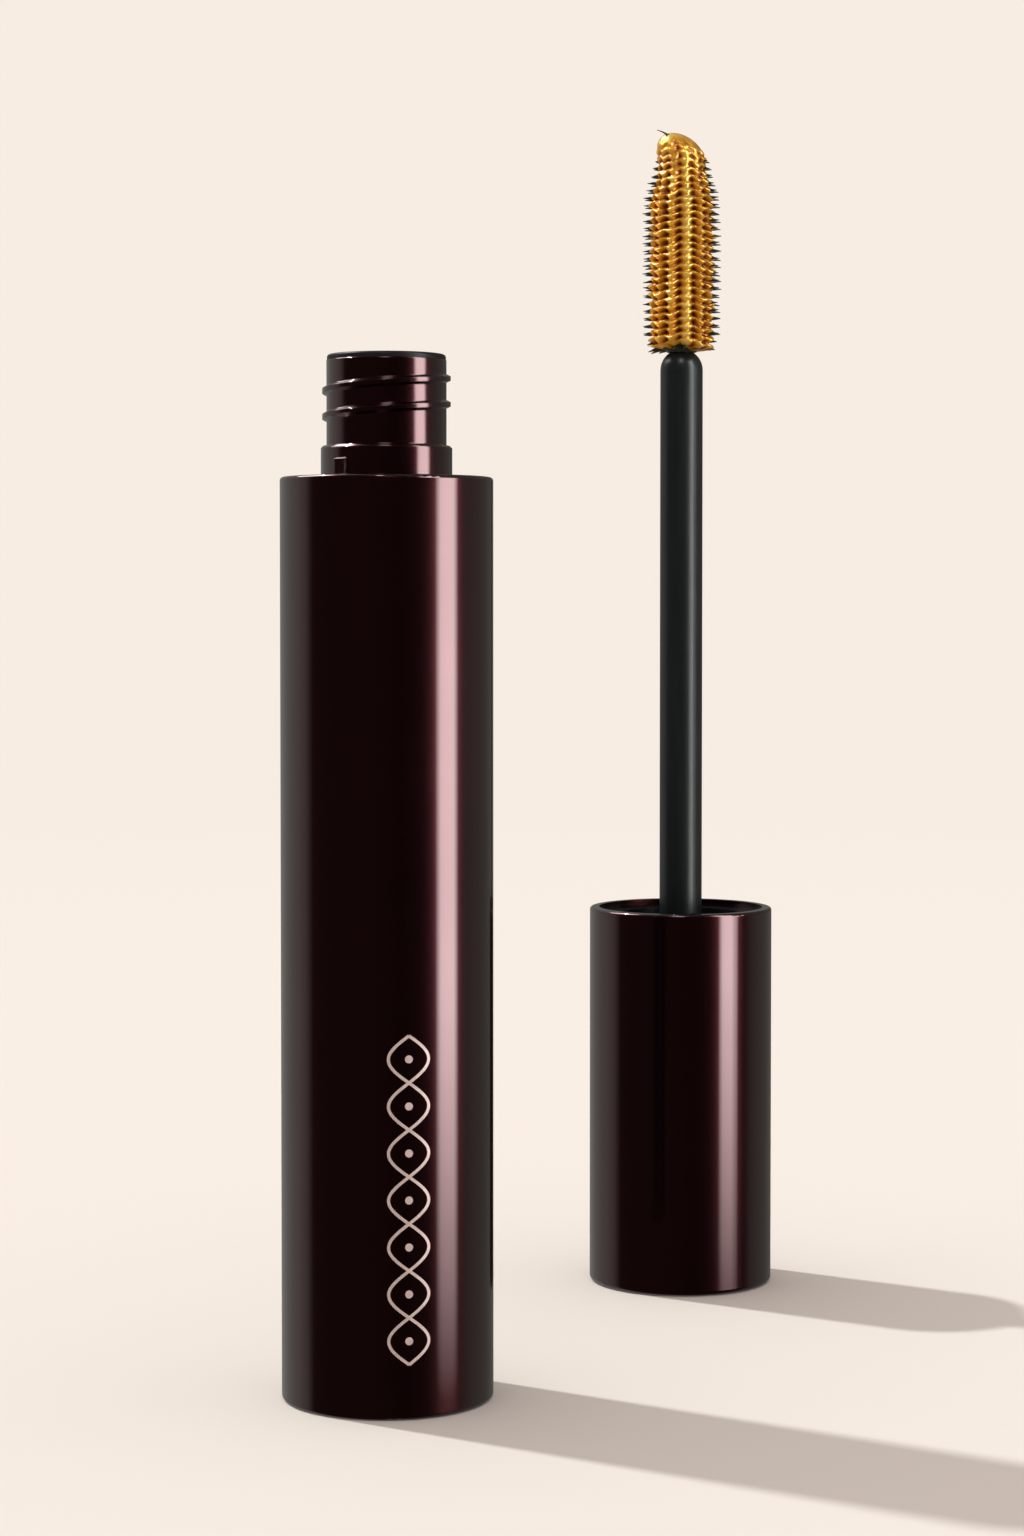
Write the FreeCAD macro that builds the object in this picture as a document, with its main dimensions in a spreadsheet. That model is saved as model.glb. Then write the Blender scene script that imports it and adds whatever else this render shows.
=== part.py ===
import FreeCAD, Part
import math
import os
import re

import Sketcher
from FreeCAD import Placement, Rotation, Vector

# Mascara tube, opened. The bottle stands on its base with its axis on Z and the origin at the
# centre of the base. The applicator has been unscrewed, drawn out, turned over and stood on the
# end of its cap beside the bottle. Every applicator piece is drawn where it sits when the tube
# is closed, and one placement carries it to where it stands. Millimetres.

DIMENSIONS = [
    # alias, value, meaning
    ("body_radius", 9.25, "outside of bottle and cap"),
    ("sleeve_wall", 0.95, "wall of the outer sleeve and of the cap shell"),
    ("sleeve_top", 80.2, "height of the shoulder"),
    ("shoulder_plate", 1.2, "thickness of the sleeve's shoulder"),
    ("top_edge", 0.3, "rounding of the sleeve's and cap's mating edges"),
    ("base_edge", 0.35, "rounding of the sleeve's lower edge"),
    ("plug_thickness", 1.0, "disc that closes the sleeve"),
    ("plug_skirt", 0.35, "wall of the plug's skirt"),
    ("plug_skirt_top", 4.0, "height of the plug's skirt"),
    ("label_radius", 7.0, "shade label under the plug"),
    ("label_thickness", 0.1, "shade label and its recess"),
    ("vial_radius", 8.2, "outside of the inner vial"),
    ("vial_wall", 0.9, "wall of the vial"),
    ("vial_floor", 0.7, "floor of the vial"),
    ("vial_heel_radius", 7.9, "vial where the plug's skirt grips it"),
    ("vial_heel_top", 4.2, "top of that stretch"),
    ("collar_radius", 5.7, "smooth collar below the thread"),
    ("collar_top", 82.9, "top of the collar"),
    ("collar_edge", 0.2, "chamfer of the collar"),
    ("neck_radius", 5.2, "root of the neck's thread"),
    ("neck_top", 90.3, "end of the neck"),
    ("neck_bore", 4.15, "bore of the neck"),
    ("funnel_base", 75.5, "start of the cone that leads into the neck"),
    ("funnel_top", 77.5, "end of that cone"),
    ("thread_pitch", 2.23, "single-start closure thread"),
    ("thread_turns", 2.0, "turns on the neck"),
    ("neck_thread_base", 84.84, "middle of the neck's rib where it starts"),
    ("rib_height", 0.37, "height of a thread rib"),
    ("neck_rib_root", 0.85, "width of the neck's rib at its root"),
    ("neck_rib_crest", 0.4, "width of the neck's rib at its crest"),
    ("cap_rib_root", 0.75, "width of the cap's rib at its root"),
    ("cap_rib_crest", 0.4, "width of the cap's rib at its crest"),
    ("cap_thread_turns", 1.5, "turns in the cap"),
    ("rib_overlap", 0.1, "how far a rib's root runs into its wall"),
    ("lug_bearing", 229.0, "where the orientation lug stands, in degrees"),
    ("lug_width", 1.2, "orientation lug, across"),
    ("lug_radius", 5.95, "orientation lug, outside"),
    ("lug_top", 81.7, "orientation lug, top"),
    ("fit_gap", 0.05, "side clearance of pieces that slip together"),
    ("press_gap", 0.01, "side clearance of pieces that are pressed together"),
    ("wiper_flange", 0.5, "thickness of the wiper's flange"),
    ("wiper_flange_radius", 5.15, "outside of the wiper's flange"),
    ("wiper_flange_edge", 0.25, "rounding of the wiper's flange"),
    ("wiper_bore", 3.5, "bore of the wiper's tube"),
    ("wiper_tube_base", 83.0, "where the wiper's tube turns into its cone"),
    ("wiper_lip_base", 79.3, "lowest point of the wiper's lip"),
    ("wiper_lip_height", 0.6, "cylindrical stretch of the lip"),
    ("wiper_lip_radius", 2.21, "orifice that wipes the stem"),
    ("wiper_wall", 0.5, "wall of the wiper's cone"),
    ("fill_radius", 4.6, "space that the brush keeps open in the mascara"),
    ("fill_top", 70.0, "level of the mascara"),
    ("closed_height", 118.7, "height of the closed tube"),
    ("cap_length", 38.2, "cap, end to rim"),
    ("cap_end", 1.2, "thickness of the cap's closed end"),
    ("cap_end_edge", 0.5, "rounding of the cap's closed end"),
    ("inner_rim_depth", 37.5, "inner cap's rim, from the cap's end"),
    ("inner_flange", 2.5, "length of the inner cap's flange"),
    ("inner_mouth_radius", 6.15, "mouth of the inner cap"),
    ("inner_mouth_depth", 35.5, "end of the mouth, from the cap's end"),
    ("inner_bore", 5.7, "bore of the inner cap"),
    ("inner_tube_radius", 7.3, "outside of the inner cap's tube"),
    ("seat_depth", 27.1, "sealing seat, from the cap's end"),
    ("seat_thickness", 1.2, "plate behind the seat"),
    ("hub_radius", 3.4, "hub that holds the stem"),
    ("web_count", 8.0, "webs that centre the inner cap"),
    ("web_thickness", 0.8, "web"),
    ("web_depth", 26.5, "end of the webs, from the cap's end"),
    ("weight_bore", 3.5, "bore of the weight ring"),
    ("weight_radius", 7.2, "outside of the weight ring"),
    ("weight_depth", 10.0, "near end of the weight ring, from the cap's end"),
    ("weight_length", 6.0, "length of the weight ring"),
    ("liner_thickness", 0.75, "sealing liner"),
    ("liner_radius", 5.5, "outside of the liner"),
    ("liner_bore", 2.25, "hole that the stem passes through"),
    ("stem_radius", 2.155, "stem"),
    ("stem_root_depth", 4.0, "buried end of the stem, from the cap's end"),
    ("stem_bore", 0.9, "bore of the stem"),
    ("stem_bore_depth", 5.0, "closed end of the bore, from the cap's end"),
    ("socket_depth", 86.0, "bottom of the socket for the brush, from the cap's end"),
    ("stem_tip_depth", 94.5, "tip of the stem, from the cap's end"),
    ("stem_tip_radius", 1.25, "flat ring at the tip of the stem"),
    ("core_radius", 1.1, "rod of the brush"),
    ("core_bore", 0.6, "bore of the rod"),
    ("core_bore_depth", 114.5, "closed end of the rod's bore, from the cap's end"),
    ("core_end_depth", 115.0, "end of the rod, from the cap's end"),
    ("wire_radius", 0.4, "stiffening wire in the rod"),
    ("wire_depth", 97.0, "near end of the wire, from the cap's end"),
    ("wire_length", 17.0, "length of the wire"),
    ("brush_depth", 94.55, "near end of the bristle sleeve, from the cap's end"),
    ("brush_end_depth", 116.7, "tip of the brush, from the cap's end"),
    ("brush_core_radius", 1.5, "outside of the bristle sleeve"),
    ("bristle_radius", 4.08, "reach of the bristles"),
    ("bristle_tip_radius", 2.0, "reach of the bristles at the brush's tip"),
    ("bristle_taper", 6.9, "length over which the bristles shorten"),
    ("bristle_start", 0.4, "first bristle, from the sleeve's near end"),
    ("bristle_rows", 29.0, "bristles in a column"),
    ("bristle_columns", 12.0, "columns of bristles"),
    ("bristle_pitch", 0.756, "spacing of the bristles in a column"),
    ("bristle_root", 0.42, "thickness of a bristle at its root"),
    ("bristle_point", 0.14, "thickness of a bristle at its point"),
    ("bristle_width", 0.34, "width of a bristle"),
    ("stand_x", 28.08, "where the applicator stands"),
    ("stand_y", 49.32, "where the applicator stands"),
]

document = FreeCAD.newDocument("mascara_tube")
sheet = document.addObject("Spreadsheet::Sheet", "dims")
for row, (alias, number, meaning) in enumerate(DIMENSIONS, start=1):
    sheet.set(f"A{row}", meaning)
    sheet.set(f"B{row}", str(number))
    sheet.setAlias(f"B{row}", alias)
document.recompute()


def value(formula):
    """The number that a formula of the sheet's aliases gives."""
    return float(sheet.evalExpression(formula))


def bound(formula):
    """The same formula as another object of the document writes it."""
    return re.sub(r"\b[a-z_]+\b(?!\()", lambda word: "dims." + word.group(), formula)


def depth(formula):
    """Height, on the closed tube, of a point that lies this far from the cap's end."""
    return f"closed_height - ({formula})"


def standing_placement():
    """Turns the applicator over about a level axis square to the line between the two axes."""
    bearing = math.atan2(value("stand_y"), value("stand_x"))
    axis = Vector(math.sin(bearing), -math.cos(bearing), 0)
    stand = Vector(value("stand_x"), value("stand_y"), value("closed_height"))
    return Placement(stand, Rotation(axis, 180))


UPRIGHT = Placement()
STANDING = standing_placement()
sub_parts = []


def new_sketch(body, name, plane_role, offset=None):
    """Empty sketch on one of the body's own planes."""
    sketch = body.newObject("Sketcher::SketchObject", name)
    plane = next(item for item in body.Origin.OriginFeatures if item.Role == plane_role)
    sketch.AttachmentSupport = [(plane, "")]
    sketch.MapMode = "FlatFace"
    if offset:
        sketch.AttachmentOffset = offset
    return sketch


def arc_between(start, end, radius):
    """Arc that turns left on its way from start to end."""
    chord = end - start
    bulge = radius - math.sqrt(radius * radius - chord.Length * chord.Length / 4)
    outward = Vector(chord.y, -chord.x, 0).normalize()
    return Part.Arc(start, (start + end) / 2 + outward * bulge, end)


def fix_coordinate(sketch, kind, side, formula):
    """Binds one coordinate of the point where a side starts."""
    number = value(formula)
    if number == 0:
        axis = -2 if kind == "DistanceX" else -1
        sketch.addConstraint(Sketcher.Constraint("PointOnObject", side, 1, axis))
    else:
        item = sketch.addConstraint(Sketcher.Constraint(kind, -1, 1, side, 1, number))
        sketch.setExpression(f"Constraints[{item}]", bound(formula))


def draw(sketch, outline):
    """Closed outline of corners (across, up), each a formula, in counter-clockwise order.
    A third formula makes the side that leaves the corner an arc of that radius."""
    points = [Vector(value(corner[0]), value(corner[1]), 0) for corner in outline]
    following = points[1:] + points[:1]
    for corner, start, end in zip(outline, points, following):
        side = Part.LineSegment(start, end)
        if len(corner) == 3:
            side = arc_between(start, end, value(corner[2]))
        sketch.addGeometry(side, False)
    for side, corner in enumerate(outline):
        after = (side + 1) % len(outline)
        sketch.addConstraint(Sketcher.Constraint("Coincident", side, 2, after, 1))
        fix_coordinate(sketch, "DistanceX", side, corner[0])
        fix_coordinate(sketch, "DistanceY", side, corner[1])
        if len(corner) == 3:
            item = sketch.addConstraint(Sketcher.Constraint("Radius", side, value(corner[2])))
            sketch.setExpression(f"Constraints[{item}]", bound(corner[2]))


def turned(name, placement, outline):
    """Body turned about Z from an outline of (radius, height) corners."""
    body = document.addObject("PartDesign::Body", name)
    body.Label = name
    sketch = new_sketch(body, name + "_outline", "XZ_Plane")
    draw(sketch, outline)
    revolution = body.newObject("PartDesign::Revolution", name + "_turned")
    revolution.Profile = sketch
    revolution.ReferenceAxis = (sketch, ["V_Axis"])
    body.Placement = placement
    sub_parts.append(body)
    return body


def ring(name, placement, inside, outside, low, high):
    """Body turned from a rectangle."""
    corners = [(inside, low), (outside, low), (outside, high), (inside, high)]
    return turned(name, placement, corners)


def helical_rib(body, name, outline, turns):
    """Right-handed thread rib that climbs from an outline on the YZ plane."""
    sketch = new_sketch(body, name + "_outline", "YZ_Plane")
    draw(sketch, outline)
    helix = body.newObject("PartDesign::AdditiveHelix", name)
    helix.Profile = sketch
    helix.ReferenceAxis = (sketch, ["V_Axis"])
    helix.Mode = "pitch-turns-angle"
    helix.setExpression("Pitch", bound("thread_pitch"))
    helix.setExpression("Turns", bound(turns))
    body.Tip = helix


def lug_sketch(body, name, inside, outside, half_width):
    """Rectangle level with the underside of the shoulder, where the orientation lug stands."""
    level = Vector(0, 0, value("sleeve_top - shoulder_plate"))
    bearing = Rotation(Vector(0, 0, 1), value("lug_bearing"))
    sketch = new_sketch(body, name, "XY_Plane", Placement(level, bearing))
    left, right = f"-({half_width})", half_width
    draw(sketch, [(inside, left), (outside, left), (outside, right), (inside, right)])
    return sketch


# Bottle

def outer_sleeve():
    """Tube with a shoulder that the collar and its lug pass through."""
    bore = "body_radius - sleeve_wall"
    hole = "collar_radius + fit_gap"
    body = turned("outer_sleeve", UPRIGHT, [
        (bore, "0"),
        ("body_radius - base_edge", "0", "base_edge"),
        ("body_radius", "base_edge"),
        ("body_radius", "sleeve_top - top_edge", "top_edge"),
        ("body_radius - top_edge", "sleeve_top"),
        (hole, "sleeve_top"),
        (hole, "sleeve_top - shoulder_plate"),
        (bore, "sleeve_top - shoulder_plate"),
    ])
    notch = body.newObject("PartDesign::Pocket", "lug_notch")
    notch.Profile = lug_sketch(body, "lug_notch_outline", "neck_radius", "lug_radius + fit_gap",
                               "lug_width / 2 + fit_gap")
    notch.Reversed = True
    notch.setExpression("Length", bound("shoulder_plate"))
    body.Tip = notch


def base_plug():
    """Disc with a skirt that grips the vial's heel, and a recess for the shade label."""
    outside = "body_radius - sleeve_wall - press_gap"
    inside = "body_radius - sleeve_wall - plug_skirt"
    turned("base_plug", UPRIGHT, [
        ("0", "label_thickness"),
        ("label_radius", "label_thickness"),
        ("label_radius", "0"),
        (outside, "0"),
        (outside, "plug_skirt_top"),
        (inside, "plug_skirt_top"),
        (inside, "plug_thickness"),
        ("0", "plug_thickness"),
    ])


def shade_label():
    ring("shade_label", UPRIGHT, "0", "label_radius - fit_gap", "0", "label_thickness")


def vial():
    """Inner bottle with its collar, lug and threaded neck."""
    shoulder = "sleeve_top - shoulder_plate"
    inside = "vial_radius - vial_wall"
    body = turned("vial", UPRIGHT, [
        ("0", "plug_thickness"),
        ("vial_heel_radius", "plug_thickness"),
        ("vial_heel_radius", "vial_heel_top"),
        ("vial_radius", "vial_heel_top"),
        ("vial_radius", shoulder),
        ("collar_radius", shoulder),
        ("collar_radius", "collar_top - collar_edge"),
        ("collar_radius - collar_edge", "collar_top"),
        ("neck_radius", "collar_top"),
        ("neck_radius", "neck_top"),
        ("neck_bore", "neck_top"),
        ("neck_bore", "funnel_top"),
        (inside, "funnel_base"),
        (inside, "plug_thickness + vial_floor"),
        ("0", "plug_thickness + vial_floor"),
    ])
    lug = body.newObject("PartDesign::Pad", "orientation_lug")
    lug.Profile = lug_sketch(body, "orientation_lug_outline", "neck_radius - rib_overlap",
                             "lug_radius", "lug_width / 2")
    lug.setExpression("Length", bound("lug_top - sleeve_top + shoulder_plate"))
    body.Tip = lug
    helical_rib(body, "neck_thread", [
        ("neck_radius - rib_overlap", "neck_thread_base - neck_rib_root / 2"),
        ("neck_radius + rib_height", "neck_thread_base - neck_rib_crest / 2"),
        ("neck_radius + rib_height", "neck_thread_base + neck_rib_crest / 2"),
        ("neck_radius - rib_overlap", "neck_thread_base + neck_rib_root / 2"),
    ], "thread_turns")


def wiper():
    """Flanged insert pressed into the neck, with a cone that ends in the wiping lip."""
    outside = "neck_bore - press_gap"
    top = "neck_top + wiper_flange"
    turned("wiper", UPRIGHT, [
        ("wiper_lip_radius", "wiper_lip_base"),
        ("wiper_lip_radius + wiper_wall", "wiper_lip_base"),
        (outside, "wiper_tube_base"),
        (outside, "neck_top"),
        ("wiper_flange_radius", "neck_top"),
        ("wiper_flange_radius", f"{top} - wiper_flange_edge", "wiper_flange_edge"),
        ("wiper_flange_radius - wiper_flange_edge", top),
        ("wiper_bore + wiper_flange_edge", top, "wiper_flange_edge"),
        ("wiper_bore", f"{top} - wiper_flange_edge"),
        ("wiper_bore", "wiper_tube_base"),
        ("wiper_lip_radius", "wiper_lip_base + wiper_lip_height"),
    ])


def mascara_fill():
    """Mascara in the vial, with the space that the brush keeps open."""
    ring("mascara_fill", UPRIGHT, "fill_radius", "vial_radius - vial_wall - press_gap",
         "plug_thickness + vial_floor", "fill_top")


# Applicator

def cap_shell():
    bore = "body_radius - sleeve_wall"
    turned("cap_shell", STANDING, [
        (bore, depth("cap_length")),
        ("body_radius - top_edge", depth("cap_length"), "top_edge"),
        ("body_radius", depth("cap_length - top_edge")),
        ("body_radius", depth("cap_end_edge"), "cap_end_edge"),
        ("body_radius - cap_end_edge", "closed_height"),
        ("0", "closed_height"),
        ("0", depth("cap_end")),
        (bore, depth("cap_end")),
    ])


def inner_cap():
    """Threaded cap inside the shell: flange, tube, sealing seat and the stem's hub."""
    outside = "body_radius - sleeve_wall - press_gap"
    hub_bore = "stem_radius + press_gap"
    flange_end = "inner_rim_depth - inner_flange"
    seat_back = "seat_depth - seat_thickness"
    body = turned("inner_cap", STANDING, [
        ("inner_mouth_radius", depth("inner_rim_depth")),
        (outside, depth("inner_rim_depth")),
        (outside, depth(flange_end)),
        ("inner_tube_radius", depth(flange_end)),
        ("inner_tube_radius", depth(seat_back)),
        ("hub_radius", depth(seat_back)),
        ("hub_radius", depth("cap_end")),
        ("0", depth("cap_end")),
        ("0", depth("stem_root_depth")),
        (hub_bore, depth("stem_root_depth")),
        (hub_bore, depth("seat_depth")),
        ("inner_bore", depth("seat_depth")),
        ("inner_bore", depth("inner_mouth_depth")),
        ("inner_mouth_radius", depth("inner_mouth_depth")),
    ])
    sketch = new_sketch(body, "web_outline", "XZ_Plane")
    web_inside = "inner_tube_radius - rib_overlap"
    web_low = depth(f"{flange_end} + rib_overlap")
    draw(sketch, [
        (web_inside, web_low),
        (outside, web_low),
        (outside, depth("web_depth")),
        (web_inside, depth("web_depth")),
    ])
    web = body.newObject("PartDesign::Pad", "web")
    web.Profile = sketch
    web.SideType = "Symmetric"
    web.setExpression("Length", bound("web_thickness"))
    webs = body.newObject("PartDesign::PolarPattern", "webs")
    webs.Originals = [web]
    webs.Axis = (sketch, ["V_Axis"])
    webs.Angle = 360
    webs.setExpression("Occurrences", bound("web_count"))
    body.Tip = webs
    middle = "neck_thread_base + thread_pitch / 2"
    helical_rib(body, "cap_thread", [
        ("inner_bore + rib_overlap", f"{middle} - cap_rib_root / 2"),
        ("inner_bore + rib_overlap", f"{middle} + cap_rib_root / 2"),
        ("inner_bore - rib_height", f"{middle} + cap_rib_crest / 2"),
        ("inner_bore - rib_height", f"{middle} - cap_rib_crest / 2"),
    ], "cap_thread_turns")


def cap_weight():
    """Ring on the hub that gives the cap its weight."""
    ring("cap_weight", STANDING, "weight_bore", "weight_radius",
         depth("weight_depth + weight_length"), depth("weight_depth"))


def liner_seal():
    ring("liner_seal", STANDING, "liner_bore", "liner_radius",
         depth("seat_depth + liner_thickness"), depth("seat_depth"))


def stem():
    """Hollow rod with a domed end and a socket for the brush."""
    socket = "core_radius + press_gap"
    dome_height = "sqrt(stem_radius * stem_radius - stem_tip_radius * stem_tip_radius)"
    turned("stem", STANDING, [
        (socket, depth("stem_tip_depth")),
        ("stem_tip_radius", depth("stem_tip_depth"), "stem_radius"),
        ("stem_radius", depth(f"stem_tip_depth - {dome_height}")),
        ("stem_radius", depth("stem_root_depth")),
        ("0", depth("stem_root_depth")),
        ("0", depth("stem_bore_depth")),
        ("stem_bore", depth("stem_bore_depth")),
        ("stem_bore", depth("socket_depth")),
        (socket, depth("socket_depth")),
    ])


def brush_core():
    """Rod that carries the bristle sleeve. Its tail sits in the stem's socket."""
    turned("brush_core", STANDING, [
        ("0", depth("core_end_depth")),
        ("core_radius", depth("core_end_depth")),
        ("core_radius", depth("socket_depth")),
        ("core_bore", depth("socket_depth")),
        ("core_bore", depth("core_bore_depth")),
        ("0", depth("core_bore_depth")),
    ])


def brush_core_wire():
    ring("brush_core_wire", STANDING, "0", "wire_radius",
         depth("wire_depth + wire_length"), depth("wire_depth"))


def bristle_reach(along):
    """Radius that the bristles reach, at a distance along the brush from the cap's end."""
    left = value("brush_end_depth") - along
    share = min(left / value("bristle_taper"), 1)
    tip = value("bristle_tip_radius")
    return tip + (value("bristle_radius") - tip) * share


def comb_face():
    """Outline of one column of bristles, with its back inside the sleeve's wall."""
    back = value("(core_radius + brush_core_radius) / 2")
    root, point = value("bristle_root / 2"), value("bristle_point / 2")
    first = value("brush_depth + bristle_start")
    corners = [Vector(back, 0, value(depth("brush_end_depth - bristle_root")))]
    corners.append(Vector(back, 0, value(depth("brush_depth + rib_overlap"))))
    for row in range(int(value("bristle_rows"))):
        along = first + row * value("bristle_pitch")
        middle = value("closed_height") - along
        reach = bristle_reach(along)
        wall = value("brush_core_radius")
        corners.append(Vector(wall, 0, middle + root))
        corners.append(Vector(reach, 0, middle + point))
        corners.append(Vector(reach, 0, middle - point))
        corners.append(Vector(wall, 0, middle - root))
    corners.append(corners[0])
    return Part.Face(Part.makePolygon(corners))


def bristle_sleeve():
    """Moulded sleeve with its columns of bristles. The bristles follow a curved envelope, which
    no pattern of one feature makes."""
    near, end = value(depth("brush_depth")), value(depth("brush_end_depth"))
    upward = Vector(0, 0, 1)
    wall = value("brush_core_radius")
    sleeve = Part.makeCylinder(wall, near - end, Vector(0, 0, end))
    tip_edge = min(sleeve.Edges, key=lambda edge: edge.BoundBox.ZMax)
    sleeve = sleeve.makeFillet(wall / 2, [tip_edge])
    bore_end = value(depth("core_end_depth + press_gap"))
    bore = Part.makeCylinder(value("core_radius + press_gap"), near - bore_end,
                             Vector(0, 0, bore_end))
    width = value("bristle_width")
    comb = comb_face()
    comb.translate(Vector(0, -width / 2, 0))
    comb = comb.extrude(Vector(0, width, 0))
    columns = int(value("bristle_columns"))
    combs = [comb.rotated(Vector(), upward, 360 * index / columns) for index in range(columns)]
    feature = document.addObject("Part::Feature", "bristle_sleeve")
    feature.Label = "bristle_sleeve"
    feature.Shape = sleeve.multiFuse(combs).cut(bore)
    feature.Placement = STANDING
    sub_parts.append(feature)


GROWING = ("PartDesign::Pad", "PartDesign::AdditiveHelix", "PartDesign::PolarPattern")


def check_model():
    """Stops if a feature failed, did nothing, or left a piece that isn't one valid solid."""
    for item in document.Objects:
        if {"Invalid", "Error"} & set(item.State):
            raise RuntimeError(f"{item.Name} failed: {item.State}")
        base = getattr(item, "BaseFeature", None)
        if base and item.TypeId.startswith("PartDesign::") and item.TypeId != "PartDesign::Body":
            change = item.Shape.Volume - base.Shape.Volume
            grows = item.TypeId in GROWING
            if change == 0 or grows != (change > 0):
                raise RuntimeError(f"{item.Name} changed the volume by {change:.4f}")
    for part in sub_parts:
        shape = part.Shape
        if shape.isNull() or not shape.isValid() or len(shape.Solids) != 1:
            raise RuntimeError(f"{part.Label} isn't one valid solid")


for make in (outer_sleeve, base_plug, shade_label, vial, wiper, mascara_fill, cap_shell, inner_cap,
             cap_weight, liner_seal, stem, brush_core, brush_core_wire, bristle_sleeve):
    make()
document.recompute()
check_model()

os.makedirs("parts", exist_ok=True)
for part in sub_parts:
    part.Shape.exportStep(f"parts/{part.Label}.step")
    box = part.Shape.BoundBox
    print(f"{part.Label:16s} {part.Shape.Volume:9.2f} mm3  z {box.ZMin:7.2f} to {box.ZMax:7.2f}")
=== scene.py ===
import math
import random

import bmesh
import bpy
from mathutils import Matrix, Vector, noise


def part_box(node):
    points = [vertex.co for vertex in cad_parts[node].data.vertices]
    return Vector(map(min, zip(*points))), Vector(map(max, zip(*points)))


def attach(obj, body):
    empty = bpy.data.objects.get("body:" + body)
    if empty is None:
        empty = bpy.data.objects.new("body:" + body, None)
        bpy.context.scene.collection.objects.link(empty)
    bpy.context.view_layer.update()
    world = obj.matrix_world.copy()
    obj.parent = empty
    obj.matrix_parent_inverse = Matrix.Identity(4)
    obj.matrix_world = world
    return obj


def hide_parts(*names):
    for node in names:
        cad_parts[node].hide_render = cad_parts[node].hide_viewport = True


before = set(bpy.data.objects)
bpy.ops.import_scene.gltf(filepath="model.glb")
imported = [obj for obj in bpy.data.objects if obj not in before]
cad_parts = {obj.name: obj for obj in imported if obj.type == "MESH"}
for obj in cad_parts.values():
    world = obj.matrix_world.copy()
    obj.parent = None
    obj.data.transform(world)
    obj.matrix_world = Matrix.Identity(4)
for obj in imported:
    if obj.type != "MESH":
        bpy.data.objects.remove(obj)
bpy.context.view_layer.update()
scene = bpy.context.scene
scene.view_settings.view_transform = "Standard"

MM = 0.001

# Where the object's main pieces are, from the frame
SLEEVE_LOW, SLEEVE_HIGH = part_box("outer_sleeve")
CAP_LOW, CAP_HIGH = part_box("cap_shell")
BRUSH_LOW, BRUSH_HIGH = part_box("bristle_sleeve")
BODY_RADIUS = (SLEEVE_HIGH.x - SLEEVE_LOW.x) / 2
CAP_AXIS = (CAP_LOW + CAP_HIGH) / 2

# Camera: level with the bottle's upper half, in front and a little to the right of it
CAMERA_PLACE = Vector((10.87, -286.46, 70.3)) * MM
CAMERA_TILT = 0.0359
CAMERA_LENS = 77.3
CAMERA_SHIFT = -0.0377
CAMERA_NEAR = 10 * MM

# Light: one key from the left and behind, a tall strip to the right, pale surroundings.
# The floor is lit paper up to FLOOR_EDGE and has turned into the backdrop by FLOOR_END, in metres
BACKDROP = (0.930, 0.846, 0.760, 1)
FLOOR_ALBEDO = tuple(0.88 * channel for channel in BACKDROP[:3]) + (1,)
FLOOR_HALF = 20.0
FLOOR_EDGE = 0.12
FLOOR_END = 0.75
AMBIENT = (0.740, 0.696, 0.692, 1)
SUN_COLOUR = (0.931, 0.991, 1.0)
SUN_STRENGTH = 1.87
SUN_BEARING = math.radians(147)
SUN_ELEVATION = math.radians(53)
SUN_ANGLE = math.radians(2.2)

# What shiny surfaces see around them: from the front to the back, and how much from left to right
FRONT_TO_BACK = [
    (0.0, (0.046, 0.019, 0.019)),
    (0.46, (0.054, 0.027, 0.027)),
    (0.55, (0.34, 0.33, 0.31)),
    (0.66, (0.40, 0.39, 0.37)),
    (0.76, (0.34, 0.33, 0.31)),
    (1.0, (0.21, 0.205, 0.195)),
]
LEFT_TO_RIGHT = [(0.35, (1, 1, 1)), (0.65, (0.45, 0.45, 0.44))]

# Strip light: share of its half width at full strength, length of the fade at its foot, and the
# ray depth that only the first reflection stays under
STRIP_CORE = 0.55
STRIP_FADE = 0.071
STRIP_DEPTH = 1.5


def make_camera():
    data = bpy.data.cameras.new("camera")
    data.lens = CAMERA_LENS
    data.shift_y = CAMERA_SHIFT
    data.clip_start = CAMERA_NEAR
    camera = bpy.data.objects.new("camera", data)
    camera.location = CAMERA_PLACE
    camera.rotation_euler = (math.pi / 2 - CAMERA_TILT, 0, 0)
    scene.collection.objects.link(camera)
    scene.camera = camera


make_camera()


# Node helpers

# Where a Mix node has its two colours and, among its outputs, the mixed one
MIX_FIRST, MIX_SECOND, MIX_RESULT = 6, 7, 2


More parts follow.
